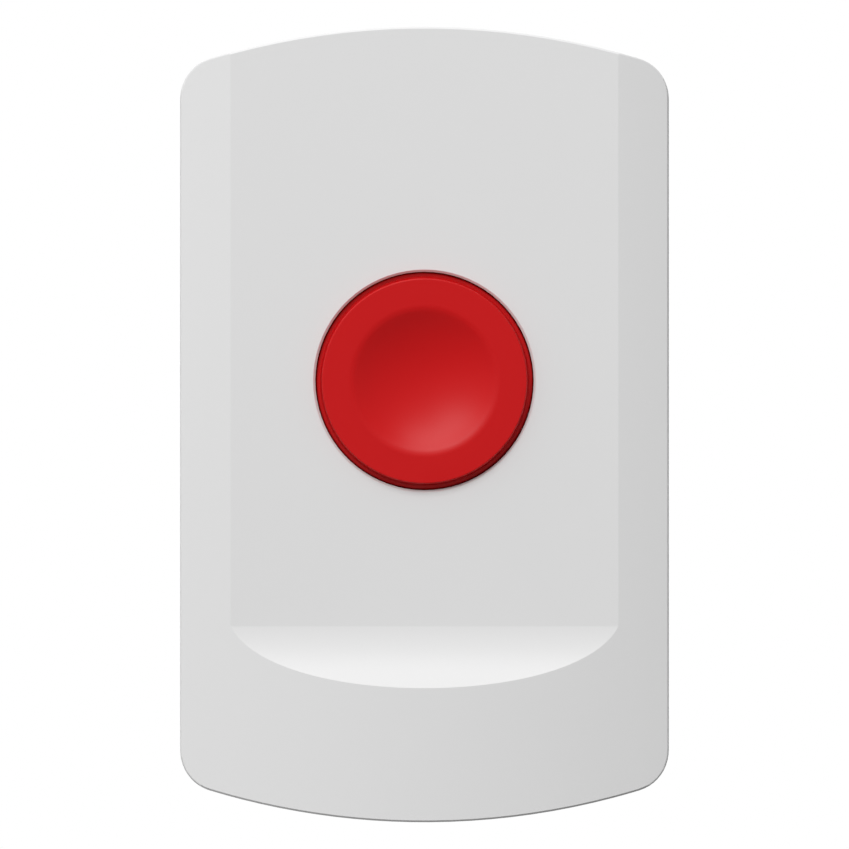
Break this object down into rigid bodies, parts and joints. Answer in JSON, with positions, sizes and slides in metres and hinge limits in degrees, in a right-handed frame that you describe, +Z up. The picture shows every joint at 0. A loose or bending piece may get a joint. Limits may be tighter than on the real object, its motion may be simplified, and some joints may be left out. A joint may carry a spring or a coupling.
{
  "type": "wireless panic button",
  "caption": "Wall-mounted wireless panic button: two-part white housing with a large dished red push cap, board, switches and a lithium cell inside.",
  "frame": {"origin": "middle of the flat mounting face that lies against the wall", "axes": "+X to the right seen from the front, +Z up, -Y out of the wall towards the user"},
  "size_m": [0.062, 0.027, 0.1008],
  "materials": {
    "housing_white": "smooth glossy white plastic",
    "button_red": "satin red plastic with a fine grain",
    "inner_plastic": "matt off-white plastic",
    "zinc_screw": "bright zinc plate",
    "spring_steel": "drawn spring wire",
    "board_green": "green solder mask",
    "module_board": "dark blue solder mask",
    "tinned_metal": "tinned sheet",
    "copper_wire": "bare copper wire",
    "chip_epoxy": "black moulded epoxy",
    "capacitor_can": "drawn aluminium can",
    "black_plastic": "matt black plastic",
    "switch_plunger": "natural acetal",
    "ceramic_tan": "fired ceramic",
    "resistor_black": "black glaze",
    "cell_sleeve": "shrunk plastic sleeve",
    "contact_metal": "nickel-plated strip"
  },
  "bodies": {
    "base": {"rear_base": "housing_white", "main_board": "board_green", "board_screws": "zinc_screw", "push_switch_body": "black_plastic", "tamper_switch_body": "black_plastic", "radio_module_board": "module_board", "radio_shield_can": "tinned_metal", "antenna_wire": "copper_wire", "microcontroller": "chip_epoxy", "crystal_can": "tinned_metal", "electrolytic_capacitor": "capacitor_can", "test_header": "black_plastic", "ceramic_capacitors": "ceramic_tan", "chip_resistors": "resistor_black", "battery_cell": "cell_sleeve", "battery_holder": "black_plastic", "battery_contact_positive": "contact_metal", "battery_contact_negative": "contact_metal"},
    "cover": {"front_cover": "housing_white", "button_retainer": "inner_plastic", "retainer_screws": "zinc_screw", "return_spring": "spring_steel"},
    "button": {"button_cap": "button_red"},
    "switch_plunger": {"push_switch_plunger": "switch_plunger"},
    "tamper_pin": {"tamper_plunger": "switch_plunger"}
  },
  "joints": [
    {"name": "cover_open", "type": "hinge", "parent": "base", "child": "cover", "pos_m": [0, -0.00715, 0.0504], "axis": [-1, 0, 0], "range_deg": [0, 40]},
    {"name": "button_press", "type": "slide", "parent": "cover", "child": "button", "axis": [0, 1, 0], "range_m": [0, 0.0015], "stiffness_N_per_m": 400, "springref_m": -0.002, "deforming": ["return_spring"]},
    {"name": "switch_press", "type": "slide", "parent": "base", "child": "switch_plunger", "axis": [0, 1, 0], "range_m": [0, 0.0015]},
    {"name": "tamper_release", "type": "slide", "parent": "base", "child": "tamper_pin", "axis": [0, -1, 0], "range_m": [0, 0.0012]}
  ],
  "couplings": [
    {"joint": "switch_press", "follows": "button_press", "ratio": 1},
    {"joint": "tamper_release", "follows": "cover_open", "m_per_rad": 0.0017}
  ]
}
